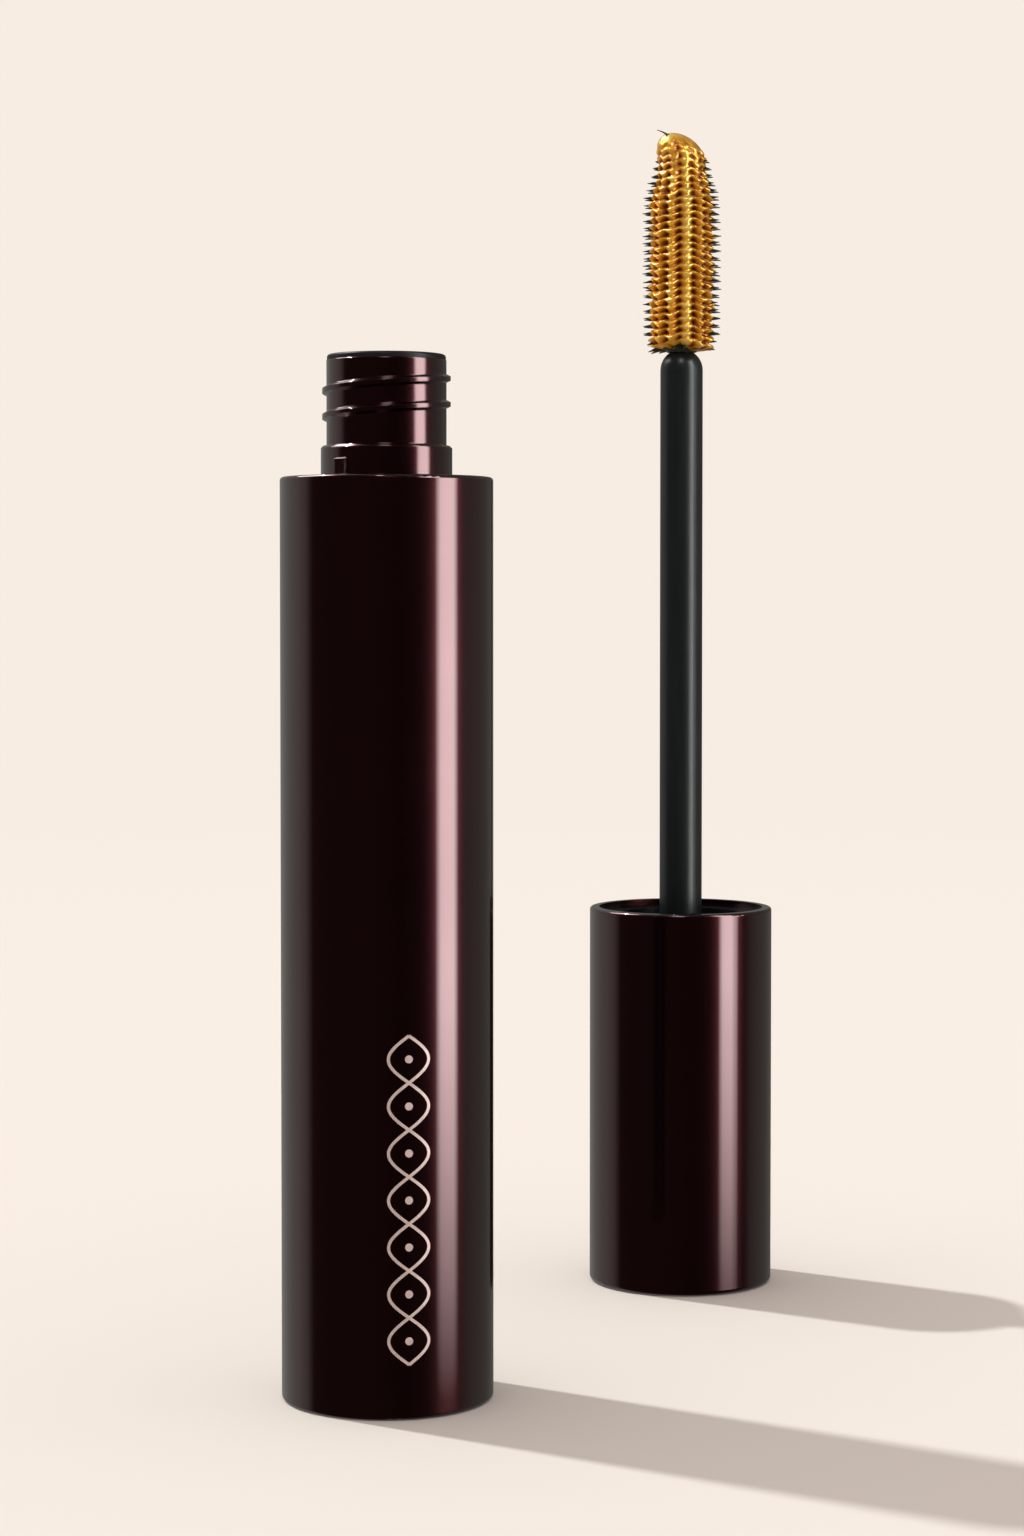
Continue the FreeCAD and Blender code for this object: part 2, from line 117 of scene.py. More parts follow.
class Nodes:
    """Short calls for building one node tree."""

    def __init__(self, tree, output_kind="ShaderNodeOutputMaterial"):
        self.tree = tree
        self.output_kind = output_kind
        self.output = None
        tree.nodes.clear()

    def add(self, kind, **settings):
        node = self.tree.nodes.new(kind)
        for name, setting in settings.items():
            setattr(node, name, setting)
        return node

    def link(self, source, target):
        self.tree.links.new(source, target)

    def show(self, shader):
        """Makes a shader the one that the material or world shows."""
        if not self.output:
            self.output = self.add(self.output_kind)
        self.link(shader.outputs[0], self.output.inputs["Surface"])

    def noise(self, scale, detail=2.0, roughness=0.5, vector=None):
        node = self.add("ShaderNodeTexNoise")
        node.inputs["Scale"].default_value = scale
        node.inputs["Detail"].default_value = detail
        node.inputs["Roughness"].default_value = roughness
        if vector:
            self.link(vector, node.inputs["Vector"])
        return node.outputs["Fac"]

    def ramp(self, source, stops):
        node = self.add("ShaderNodeValToRGB")
        points = node.color_ramp.elements
        while len(points) < len(stops):
            points.new(0.5)
        for point, (place, colour) in zip(points, stops):
            point.position = place
            point.color = colour if len(colour) == 4 else (*colour, 1)
        self.link(source, node.inputs["Fac"])
        return node.outputs["Color"]

    def math(self, operation, first, second):
        node = self.add("ShaderNodeMath", operation=operation)
        for socket, source in zip(node.inputs, (first, second)):
            if isinstance(source, (int, float)):
                socket.default_value = source
            else:
                self.link(source, socket)
        return node.outputs[0]

    def span(self, source, low, high, start=0.0, end=1.0):
        """Maps start to end onto low to high."""
        node = self.add("ShaderNodeMapRange")
        node.inputs["From Min"].default_value = start
        node.inputs["From Max"].default_value = end
        node.inputs["To Min"].default_value = low
        node.inputs["To Max"].default_value = high
        self.link(source, node.inputs["Value"])
        return node.outputs["Result"]


def new_material(name, **values):
    """Principled material. Keywords are its sockets' names with _ for spaces."""
    material = bpy.data.materials.new(name)
    material.use_nodes = True
    nodes = Nodes(material.node_tree)
    shader = nodes.add("ShaderNodeBsdfPrincipled")
    nodes.show(shader)
    for socket, setting in values.items():
        shader.inputs[socket.replace("_", " ")].default_value = setting
    return material, nodes, shader


def object_vector(nodes, scale=(1, 1, 1)):
    coordinate = nodes.add("ShaderNodeTexCoord")
    mapping = nodes.add("ShaderNodeMapping")
    mapping.inputs["Scale"].default_value = scale
    nodes.link(coordinate.outputs["Object"], mapping.inputs["Vector"])
    return mapping.outputs["Vector"]


def bump(nodes, shader, height, strength, distance, rounding=0.0):
    """Fine relief. rounding is the radius to which sharp edges are seen to be rounded."""
    node = nodes.add("ShaderNodeBump")
    node.inputs["Strength"].default_value = strength
    node.inputs["Distance"].default_value = distance
    nodes.link(height, node.inputs["Height"])
    nodes.link(node.outputs["Normal"], shader.inputs["Normal"])
    if rounding:
        edges = nodes.add("ShaderNodeBevel", samples=6)
        edges.inputs["Radius"].default_value = rounding
        nodes.link(edges.outputs["Normal"], node.inputs["Normal"])
        nodes.link(edges.outputs["Normal"], shader.inputs["Coat Normal"])


# Stage

def make_world():
    """Even pale surroundings, which shiny surfaces see as dark in front and pale behind."""
    world = bpy.data.worlds.new("studio")
    scene.world = world
    world.use_nodes = True
    nodes = Nodes(world.node_tree, "ShaderNodeOutputWorld")
    path = nodes.add("ShaderNodeLightPath")
    direction = nodes.add("ShaderNodeTexCoord").outputs["Generated"]
    parts = nodes.add("ShaderNodeSeparateXYZ")
    nodes.link(direction, parts.inputs[0])
    depth = nodes.span(parts.outputs["Y"], 0, 1, -1)
    front_to_back = nodes.ramp(depth, FRONT_TO_BACK)
    side = nodes.span(parts.outputs["X"], 0, 1, -1)
    left_to_right = nodes.ramp(side, LEFT_TO_RIGHT)
    product = nodes.add("ShaderNodeMix", data_type="RGBA", blend_type="MULTIPLY")
    product.inputs["Factor"].default_value = 1
    nodes.link(front_to_back, product.inputs[MIX_FIRST])
    nodes.link(left_to_right, product.inputs[MIX_SECOND])
    glossy = nodes.add("ShaderNodeMix", data_type="RGBA")
    nodes.link(path.outputs["Is Glossy Ray"], glossy.inputs["Factor"])
    glossy.inputs[MIX_FIRST].default_value = AMBIENT
    nodes.link(product.outputs[MIX_RESULT], glossy.inputs[MIX_SECOND])
    seen = nodes.add("ShaderNodeMix", data_type="RGBA")
    nodes.link(path.outputs["Is Camera Ray"], seen.inputs["Factor"])
    nodes.link(glossy.outputs[MIX_RESULT], seen.inputs[MIX_FIRST])
    seen.inputs[MIX_SECOND].default_value = BACKDROP
    background = nodes.add("ShaderNodeBackground")
    nodes.link(seen.outputs[MIX_RESULT], background.inputs["Color"])
    nodes.show(background)


def make_sheet(name, corners):
    """Object with one four-sided face."""
    mesh = bpy.data.meshes.new(name)
    mesh.from_pydata(corners, [], [(0, 1, 2, 3)])
    sheet = bpy.data.objects.new(name, mesh)
    scene.collection.objects.link(sheet)
    return sheet


def make_floor():
    """Paper that takes the shadows and turns into the backdrop with distance."""
    low, high = -FLOOR_HALF, FLOOR_HALF
    floor = make_sheet("floor", [(low, low, 0), (high, low, 0), (high, high, 0), (low, high, 0)])
    material, nodes, shader = new_material("floor_paper", Base_Color=FLOOR_ALBEDO, Roughness=1.0,
                                           Specular_IOR_Level=0.0)
    distance = nodes.add("ShaderNodeVectorMath", operation="LENGTH")
    nodes.link(nodes.add("ShaderNodeTexCoord").outputs["Object"], distance.inputs[0])
    fade = nodes.span(distance.outputs["Value"], 0, 1, FLOOR_EDGE, FLOOR_END)
    backdrop = nodes.add("ShaderNodeEmission")
    backdrop.inputs["Color"].default_value = BACKDROP
    blend = nodes.add("ShaderNodeMixShader")
    nodes.link(fade, blend.inputs["Fac"])
    nodes.link(shader.outputs[0], blend.inputs[1])
    nodes.link(backdrop.outputs[0], blend.inputs[2])
    nodes.show(blend)
    floor.data.materials.append(material)
    floor.visible_glossy = False
    floor.visible_shadow = False


def make_sun():
    data = bpy.data.lights.new("key", "SUN")
    data.energy = SUN_STRENGTH
    data.color = SUN_COLOUR
    data.angle = SUN_ANGLE
    sun = bpy.data.objects.new("key", data)
    level = math.cos(SUN_ELEVATION)
    toward = Vector((math.cos(SUN_BEARING) * level, math.sin(SUN_BEARING) * level,
                     math.sin(SUN_ELEVATION)))
    sun.rotation_euler = toward.to_track_quat("Z", "Y").to_euler()
    scene.collection.objects.link(sun)


def from_front(bearing, elevation=0.0):
    """Direction seen from the object. bearing is from the front, to the right."""
    turn, rise = math.radians(bearing), math.radians(elevation)
    return Vector((math.sin(turn) * math.cos(rise), -math.cos(turn) * math.cos(rise),
                   math.sin(rise)))


def shiny_only(piece):
    """Leaves a light source to the shiny surfaces, so that it casts no light of its own."""
    piece.visible_camera = False
    piece.visible_diffuse = False
    piece.visible_shadow = False
    piece.visible_transmission = False


def make_strip(name, bearing, distance, width, bottom, top, radiance):
    """Tall soft-edged light to one side, fading out at its foot. Only the first reflection
    sees it, so that it doesn't show again where one piece mirrors another."""
    left, right = -width / 2, width / 2
    strip = make_sheet(name, [(left, 0, bottom), (right, 0, bottom), (right, 0, top),
                              (left, 0, top)])
    strip.location = from_front(bearing) * distance
    strip.rotation_euler = (0, 0, math.radians(bearing))
    material = bpy.data.materials.new(name)
    material.use_nodes = True
    nodes = Nodes(material.node_tree)
    parts = nodes.add("ShaderNodeSeparateXYZ")
    nodes.link(nodes.add("ShaderNodeTexCoord").outputs["Object"], parts.inputs[0])
    across = nodes.math("ABSOLUTE", nodes.span(parts.outputs["X"], -1, 1, left, right), 0)
    edge = nodes.span(across, 1, 0, STRIP_CORE, 1)
    foot = nodes.span(parts.outputs["Z"], 0, 1, bottom, bottom + STRIP_FADE)
    depth = nodes.add("ShaderNodeLightPath").outputs["Ray Depth"]
    direct = nodes.math("LESS_THAN", depth, STRIP_DEPTH)
    soft = nodes.math("MULTIPLY", nodes.math("MULTIPLY", edge, foot), direct)
    level = nodes.math("MULTIPLY", soft, radiance)
    emission = nodes.add("ShaderNodeEmission")
    nodes.link(level, emission.inputs["Strength"])
    nodes.show(emission)
    strip.data.materials.append(material)
    shiny_only(strip)


def make_panel(name, bearing, elevation, distance, size, radiance):
    """Round overhead softbox that only shows as glints on rounded edges. Its power is what
    gives a disk of that size the radiance."""
    data = bpy.data.lights.new(name, "AREA")
    data.shape = "DISK"
    data.size = size
    data.energy = radiance * math.pi ** 2 * size ** 2 / 4
    panel = bpy.data.objects.new(name, data)
    toward = from_front(bearing, elevation)
    panel.location = toward * distance
    panel.rotation_euler = toward.to_track_quat("Z", "Y").to_euler()
    scene.collection.objects.link(panel)
    shiny_only(panel)


make_world()
make_floor()
make_sun()
make_strip("strip_right", bearing=69.3, distance=0.32, width=0.168, bottom=-0.076, top=0.5,
           radiance=8.2)
make_panel("glint_left", bearing=-123, elevation=50, distance=0.6, size=0.30, radiance=6.0)
make_panel("glint_top", bearing=-2, elevation=60, distance=0.6, size=0.15, radiance=9.0)


# Materials of the CAD nodes

LABEL_RADIUS = 7 * MM


def metallised_shell():
    """Vacuum-metallised plastic under a clear, very dark burgundy lacquer."""
    material, nodes, shader = new_material(
        "metallised_shell", Metallic=1.0, Coat_Weight=1.0, Coat_Roughness=0.04, Coat_IOR=1.52)
    vector = object_vector(nodes)
    mottle = nodes.noise(90, 3, 0.6, vector)
    colour = nodes.ramp(mottle, [(0.3, (0.050, 0.013, 0.015)), (0.7, (0.059, 0.018, 0.020))])
    nodes.link(colour, shader.inputs["Base Color"])
    grain = nodes.noise(5200, 1, 0.5, vector)
    nodes.link(nodes.span(grain, 0.20, 0.25), shader.inputs["Roughness"])
    ripple = nodes.noise(140, 1, 0.4, vector)
    bump(nodes, shader, ripple, 0.05, 0.1 * MM)
    return material


def neck_plastic():
    """Glossy dark burgundy moulding."""
    material, nodes, shader = new_material(
        "neck_plastic", Metallic=1.0, Coat_Weight=1.0, Coat_Roughness=0.05, Coat_IOR=1.5)
    vector = object_vector(nodes)
    colour = nodes.ramp(nodes.noise(160, 3, 0.6, vector),
                        [(0.3, (0.050, 0.014, 0.016)), (0.7, (0.060, 0.019, 0.021))])
    nodes.link(colour, shader.inputs["Base Color"])
    nodes.link(nodes.span(nodes.noise(3800, 2, 0.5, vector), 0.18, 0.25),
               shader.inputs["Roughness"])
    bump(nodes, shader, nodes.noise(900, 2, 0.5, vector), 0.05, 0.05 * MM, rounding=0.18 * MM)
    return material


def black_plastic():
    material, nodes, shader = new_material("black_plastic", IOR=1.5)
    vector = object_vector(nodes)
    colour = nodes.ramp(nodes.noise(300, 3, 0.6, vector),
                        [(0.3, (0.007, 0.007, 0.008)), (0.7, (0.012, 0.012, 0.013))])
    nodes.link(colour, shader.inputs["Base Color"])
    nodes.link(nodes.span(nodes.noise(2500, 2, 0.5, vector), 0.12, 0.24),
               shader.inputs["Roughness"])
    bump(nodes, shader, nodes.noise(1400, 2, 0.5, vector), 0.06, 0.05 * MM)
    return material


def stem_plastic():
    """Black satin moulding with faint flow marks along its length."""
    material, nodes, shader = new_material("stem_plastic", IOR=1.47)
    vector = object_vector(nodes, (1, 1, 0.08))
    colour = nodes.ramp(nodes.noise(700, 3, 0.6, vector),
                        [(0.3, (0.0055, 0.0095, 0.010)), (0.7, (0.0095, 0.0155, 0.016))])
    nodes.link(colour, shader.inputs["Base Color"])
    nodes.link(nodes.span(nodes.noise(2600, 2, 0.6, vector), 0.27, 0.4),
               shader.inputs["Roughness"])
    bump(nodes, shader, nodes.noise(3200, 2, 0.5, vector), 0.08, 0.04 * MM)
    return material


def wiper_plastic():
    material, nodes, shader = new_material("wiper_plastic", IOR=1.4, Specular_IOR_Level=0.25)
    vector = object_vector(nodes)
    colour = nodes.ramp(nodes.noise(500, 3, 0.6, vector),
                        [(0.3, (0.008, 0.008, 0.009)), (0.7, (0.014, 0.014, 0.015))])
    nodes.link(colour, shader.inputs["Base Color"])
    nodes.link(nodes.span(nodes.noise(2000, 2, 0.5, vector), 0.32, 0.46),
               shader.inputs["Roughness"])
    bump(nodes, shader, nodes.noise(2600, 2, 0.5, vector), 0.1, 0.05 * MM)
    return material


def paste(name, load_name=None):
    """Thick ochre paste with wet, glossier patches at random. Where a load attribute is named,
    its colour follows the load. Where the load is low it is dark brown: the thin paste's own
    darker tone, deepened into painted shade in the gaps. Where it stands high it is bright gold,
    painted light on the crests. Otherwise its tone varies at random.
    """
    material, nodes, shader = new_material(name, Metallic=0.45, IOR=1.5, Coat_Weight=0.3,
                                           Coat_Roughness=0.1)
    vector = object_vector(nodes)
    pigment = nodes.span(nodes.noise(1800, 4, 0.65, vector), -0.22, 0.22)
    if load_name:
        load = nodes.add("ShaderNodeAttribute", attribute_name=load_name).outputs["Fac"]
    else:
        load = nodes.span(nodes.noise(300, 2, 0.5, vector), 0.45, 0.75)
    # Painted shade and light: the colour runs from dark brown at low load, in the gaps, to bright
    # gold at high load, on the crests
    nodes.link(nodes.ramp(nodes.math("ADD", load, pigment), [
        (0.05, (0.155, 0.030, 0.004)),
        (0.28, (0.39, 0.112, 0.009)),
        (0.50, (0.73, 0.295, 0.018)),
        (0.75, (0.95, 0.47, 0.036)),
        (1.0, (1.0, 0.70, 0.16)),
    ]), shader.inputs["Base Color"])
    wet = nodes.noise(2200, 3, 0.6, vector)
    nodes.link(nodes.span(wet, 0.2, 0.42), shader.inputs["Roughness"])
    bump(nodes, shader, nodes.noise(3600, 4, 0.6, vector), 0.3, 0.08 * MM)
    return material


def liner_foam():
    material, nodes, shader = new_material("liner_foam", Roughness=0.9)
    vector = object_vector(nodes)
    cells = nodes.add("ShaderNodeTexVoronoi")
    cells.inputs["Scale"].default_value = 5000
    nodes.link(vector, cells.inputs["Vector"])
    nodes.link(nodes.ramp(cells.outputs["Distance"],
                          [(0.1, (0.42, 0.42, 0.41)), (0.8, (0.6, 0.6, 0.58))]),
               shader.inputs["Base Color"])
    bump(nodes, shader, cells.outputs["Distance"], 0.3, 0.05 * MM)
    return material


def turned_steel():
    material, nodes, shader = new_material("turned_steel", Metallic=1.0)
    vector = object_vector(nodes, (0.1, 0.1, 1))
    rings = nodes.noise(9000, 2, 0.6, vector)
    nodes.link(nodes.ramp(rings, [(0.3, (0.48, 0.48, 0.49)), (0.7, (0.6, 0.6, 0.61))]),
               shader.inputs["Base Color"])
    nodes.link(nodes.span(rings, 0.25, 0.4), shader.inputs["Roughness"])
    bump(nodes, shader, rings, 0.2, 0.02 * MM)
    return material


def label_paper():
    """Printed sticker in the shade's colour with a paler border."""
    material, nodes, shader = new_material("label_paper", Roughness=0.45)
    coordinate = nodes.add("ShaderNodeTexCoord")
    length = nodes.add("ShaderNodeVectorMath", operation="LENGTH")
    nodes.link(coordinate.outputs["Object"], length.inputs[0])
    share = nodes.math("DIVIDE", length.outputs["Value"], LABEL_RADIUS)
    nodes.link(nodes.ramp(share, [(0.80, (0.52, 0.26, 0.05)), (0.83, (0.85, 0.78, 0.68))]),
               shader.inputs["Base Color"])
    bump(nodes, shader, nodes.noise(6000, 3, 0.6), 0.1, 0.02 * MM)
    return material


def rose_foil():
    material, nodes, shader = new_material("rose_foil", Metallic=0.55)
    vector = object_vector(nodes)
    speck = nodes.noise(2600, 3, 0.6, vector)
    nodes.link(nodes.ramp(speck, [(0.3, (0.94, 0.72, 0.66)), (0.7, (1.0, 0.82, 0.76))]),
               shader.inputs["Base Color"])
    nodes.link(nodes.span(speck, 0.35, 0.5), shader.inputs["Roughness"])
    bump(nodes, shader, nodes.noise(5200, 2, 0.6, vector), 0.15, 0.02 * MM)
    return material


def bristle_plastic():
    material, nodes, shader = new_material("bristle_plastic", IOR=1.48)
    vector = object_vector(nodes)
    colour = nodes.ramp(nodes.noise(1200, 3, 0.6, vector),
                        [(0.3, (0.008, 0.014, 0.010)), (0.7, (0.030, 0.034, 0.016))])
    nodes.link(colour, shader.inputs["Base Color"])
    nodes.link(nodes.span(nodes.noise(3000, 2, 0.6, vector), 0.3, 0.5),
               shader.inputs["Roughness"])
    return material


SHELL = metallised_shell()
BLACK = black_plastic()
STEM = stem_plastic()
STEEL = turned_steel()
BRISTLE = bristle_plastic()
GOLD = paste("mascara_gold")
BRUSH_GOLD_SHADED = paste("mascara_gold_on_brush_shaded", "load")
FINISHES = {
    "outer_sleeve": SHELL,
    "cap_shell": SHELL,
    "vial": neck_plastic(),
    "base_plug": BLACK,
    "inner_cap": BLACK,
    "stem": STEM,
    "brush_core": STEM,
    "wiper": wiper_plastic(),
    "mascara_fill": GOLD,
    "shade_label": label_paper(),
    "liner_seal": liner_foam(),
    "cap_weight": STEEL,
    "brush_core_wire": STEEL,
}

for node, finish in FINISHES.items():
    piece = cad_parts[node]
    piece.data.materials.clear()
    piece.data.materials.append(finish)
    for polygon in piece.data.polygons:
        polygon.material_index = 0


# Mesh helpers: shapes are drawn in millimetres about the brush's or bottle's own axis

TUBE_SIDES = 8

# A direction that no tube runs along, from which a tube's rings are laid out
TUBE_REFERENCE = Vector((0.13, 0.29, 0.95))


def to_object(shape, name, place, material):
    """Object from a mesh drawn in millimetres about an axis at place."""
    mesh = bpy.data.meshes.new(name)
    shape.to_mesh(mesh)
    shape.free()
    mesh.transform(Matrix.Translation(place) @ Matrix.Scale(MM, 4))
    mesh.materials.append(material)
    for polygon in mesh.polygons:
        polygon.use_smooth = True
    piece = bpy.data.objects.new(name, mesh)
    scene.collection.objects.link(piece)
    return piece


def smooth_by_angle(mesh, limit):
    """Smooth shading with sharp edges where faces meet at more than the limit."""
    shape = bmesh.new()
    shape.from_mesh(mesh)
    for face in shape.faces:
        face.smooth = True
    for edge in shape.edges:
        edge.smooth = len(edge.link_faces) != 2 or edge.calc_face_angle(0) < limit
    shape.to_mesh(mesh)
    shape.free()


def join_rings(shape, rings):
    """Faces between each ring of corners and the next."""
    sides = len(rings[0])
    for first, second in zip(rings, rings[1:]):
        for step in range(sides):
            following = (step + 1) % sides
            shape.faces.new((first[step], first[following], second[following], second[step]))


def add_skin(shape, rings):
    """Closed skin over rings of corners, with a flat face at both ends."""
    join_rings(shape, rings)
    shape.faces.new(list(reversed(rings[0])))
    shape.faces.new(rings[-1])


def add_tube(shape, points, radii):
    """Closed tube of varying radius along points."""
    rings = []
    last = len(points) - 1
    for index, (point, radius) in enumerate(zip(points, radii)):
        before = points[max(index - 1, 0)]
        after = points[min(index + 1, last)]
        along = (after - before).normalized()
        across = along.cross(TUBE_REFERENCE).normalized()
        other = along.cross(across)
        ring = []
        for step in range(TUBE_SIDES):
            turn = 2 * math.pi * step / TUBE_SIDES
            offset = across * math.cos(turn) + other * math.sin(turn)
            ring.append(shape.verts.new(point + offset * radius))
        rings.append(ring)
    add_skin(shape, rings)


def around(radius, angle, height):
    return Vector((radius * math.cos(angle), radius * math.sin(angle), height))


def lump(*place):
    """Smooth noise, about -1 to 1, at three coordinates. A caller's factors set how fast it
    varies, and its plain last number keeps one use apart from another."""
    return noise.noise(Vector(place))


# Brush: sizes in millimetres, heights from the brush's near end

BRUSH_LENGTH = (BRUSH_HIGH.z - BRUSH_LOW.z) / MM
BRUSH_PLACE = Vector((CAP_AXIS.x, CAP_AXIS.y, BRUSH_LOW.z))
ROWS = 29
COLUMNS = 12
ROW_START = 0.4
ROW_PITCH = 0.756
COLUMN_START = math.radians(-83)

# Envelope of the bristles, which shortens over the taper before the tip
BRISTLE_REACH = 4.08
BRISTLE_TIP_REACH = 2.0
BRISTLE_TAPER = 6.9

# Bore of the sleeve, its outside, and its rounded end as (radius, distance from the brush's end)
CORE_BORE = 1.15
CORE_END = 20.5
SLEEVE_RADIUS = 1.5
SLEEVE_END = [(SLEEVE_RADIUS, 2.0), (1.2, 1.4), (0.5, 1.1)]
SLEEVE_SIDES = 32

# One bristle: its root's distance from the axis and its radius there, then places along it as
# shares of its reach and droop, each with its radius
BRISTLE_ROOT = 1.2
BRISTLE_ROOT_RADIUS = 0.25
BRISTLE_PROFILE = [(0.62, 0, 0.22), (0.84, 0.45, 0.15), (1, 1, 0.035)]

# Unevenness of the bristles
BRISTLE_SEED = 11
TURN_SPREAD = 0.02
REACH_LOW, REACH_HIGH = 0.955, 1.0
DROOP_MEAN, DROOP_SPREAD = -0.05, 0.06

# Share of the reach that is left on the columns whose points the paste hides, and the length
# before the tip where it buries the bristles altogether
COVERED = {0: 0.78, 1: 0.78, 10: 0.8, 11: 0.78}
BARE_TIP = 2.5

# Lowest rows, which are shorter and droop on the brush's left
LOW_ROWS = 2
LOW_DROOP = -0.45
LOW_LIFT = 0.05
LOW_REACH = 0.84
LOW_REACH_STEP = 0.07


def add_sleeve(shape):
    """Closed cup about the axis, from the bore's blind end down to its mouth and up outside."""
    outline = [(CORE_BORE, CORE_END), (CORE_BORE, 0), (SLEEVE_RADIUS, 0)]
    outline += [(radius, BRUSH_LENGTH - depth) for radius, depth in SLEEVE_END]
    turns = [2 * math.pi * turn / SLEEVE_SIDES for turn in range(SLEEVE_SIDES)]
    rings = [[shape.verts.new(around(radius, turn, height)) for turn in turns]
             for radius, height in outline]
    add_skin(shape, rings)


def reach_at(height):
    """How far the bristles reach from the axis."""
    share = min((BRUSH_LENGTH - height) / BRISTLE_TAPER, 1)
    return BRISTLE_TIP_REACH + (BRISTLE_REACH - BRISTLE_TIP_REACH) * share


def column_angle(column):
    return COLUMN_START + 2 * math.pi * column / COLUMNS


def make_bristles():
    """Moulded sleeve with its columns of pointed bristles, a little uneven."""
    chance = random.Random(BRISTLE_SEED)
    shape = bmesh.new()
    add_sleeve(shape)
    for column in range(COLUMNS):
        for row in range(ROWS):
            height = ROW_START + row * ROW_PITCH
            angle = column_angle(column) + chance.gauss(0, TURN_SPREAD)
            reach = reach_at(height) * chance.uniform(REACH_LOW, REACH_HIGH)
            reach *= COVERED.get(column, 1)
            droop = chance.gauss(DROOP_MEAN, DROOP_SPREAD)
            if row < LOW_ROWS:
                droop += LOW_DROOP * max(-math.cos(angle), 0) + LOW_LIFT
                reach *= LOW_REACH + LOW_REACH_STEP * row
            if height > BRUSH_LENGTH - BARE_TIP:
                continue
            points = [around(BRISTLE_ROOT, angle, height)]
            radii = [BRISTLE_ROOT_RADIUS]
            for out, down, radius in BRISTLE_PROFILE:
                points.append(around(reach * out, angle, height + droop * down))
                radii.append(radius)
            add_tube(shape, points, radii)
    piece = to_object(shape, "bristles", BRUSH_PLACE, BRISTLE)
    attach(piece, "applicator")
    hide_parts("bristle_sleeve")


# Paste on the brush: a skin of varying height about the brush's axis. The load at a place runs
# from 0 in a bare gap to about 1 on a full ridge, and the colour follows it, with painted shade
# in the gaps and painted light on the crests

STEPS_ROUND = 240
STEPS_UP = 340
PASTE_BORE = 1.35
PASTE_BORE_END = 20.9
PASTE_END = BRUSH_LENGTH - 0.02
HIDDEN_LOAD = 0.5

# Foot of the skin, how fast it rises there, and the gap in front where the sleeve shows
PASTE_FOOT = 0.08
FOOT_OVERLAP = 0.1
FOOT_RISE = 0.55
FOOT_RISE_CHANGE = 0.2
FOOT_GAP = 0.7
FOOT_GAP_BEARING = math.radians(-100)
FOOT_GAP_NARROWNESS = 6

# Share of the bristles' reach that the skin stands at for no load and for a full one
PASTE_FLOOR = 0.605
PASTE_CREST = 0.86

# Blunt tip, leaning over to one side, and the stretch over which columns turn into it
TIP_RADIUS = 2.58
TIP_DEPTH = 3.2
TIP_BLUNTNESS = 2.2
TIP_LEAN = 0.95
TIP_LEAN_DEPTH = 2.8
TIP_LEAN_CURVE = 1.3
TIP_BLEND_START = 6.8
TIP_BLEND_LENGTH = 3.8
TIP_RELIEF = 0.14
TIP_RELIEF_DEPTH = 3.4
TIP_LOAD = 0.72

# Paste that joins the rows along a column, most of all on the column wiped last
FILL_MEAN = 0.34
FILL_SPREAD = 0.25
FILL_CHANGE = 0.3
FILL_LOW = 0.05
RIDGE_FILL = 0.95
RIDGE_OFFSET = 0.16
RIDGE_NARROWNESS = 2.6
RIDGE_SHARPNESS = 1.6
RIDGE_DIP = 0.14

# Rings of paste along the rows: their arch between columns, lift at the full ridge and strength
RING_ARCH = 0.24
RING_LIFT = 0.42
RING_LIFT_NARROWNESS = 7
RING_WANDER = 0.24
RING_SHARPNESS = 1.2
RING_MEAN = 0.76
RING_SPREAD = 0.55
RING_DIP = 0.14

# Unevenness of the skin, coarse and fine, in millimetres and in load
ROUGH_HEIGHT = 0.07
FINE_HEIGHT = 0.035
ROUGH_LOAD = 0.12
ROUGH_TIP_LOAD = 0.5


def ease(value):
    """Smooth step from 0 to 1."""
    value = min(max(value, 0.0), 1.0)
    return value * value * (3 - 2 * value)


def peak(angle, narrowness):
    """1 where the angle is 0, falling away to both sides."""
    return math.exp(narrowness * (math.cos(angle) - 1))


def column_fill(column):
    """How far the paste joins up along a column."""
    turn = 2 * math.pi * column / COLUMNS
    uneven = FILL_SPREAD * lump(math.cos(turn) * 3.1, math.sin(turn) * 3.1, 4.2)
    ridge = (RIDGE_FILL - FILL_MEAN) * peak(turn + RIDGE_OFFSET, RIDGE_NARROWNESS)
    return FILL_MEAN + uneven + ridge


def paste_load(angle, height):
    """Load of paste at a place on the columns, before the tip."""
    place = (angle - COLUMN_START) / (2 * math.pi) * COLUMNS
    column = round(place)
    on_column = (1 + math.cos(2 * math.pi * (place - column))) / 2
    shift = RING_ARCH * (1 - on_column)
    shift += RING_LIFT * peak(angle - COLUMN_START, RING_LIFT_NARROWNESS)
    shift += RING_WANDER * lump(place * 0.9, height * 0.8, 7.7)
    row = (height - ROW_START - shift) / ROW_PITCH
    on_row = (1 + math.cos(2 * math.pi * row)) / 2
    fill = column_fill(column % COLUMNS) + FILL_CHANGE * lump(column * 5.3, height * 0.55, 2)
    fill = min(max(fill, FILL_LOW), 1.0)
    ridge = fill * on_column ** (RIDGE_SHARPNESS - fill)
    joined = ridge * (1 - RIDGE_DIP * (1 - on_row))
    ring = RING_MEAN + RING_SPREAD * lump(place * 1.3, round(row) * 2.7, 1.1)
    ring *= on_row ** RING_SHARPNESS * (1 - RING_DIP * (1 - on_column))
    return max(joined + (1 - ridge) * ring, 0.0)


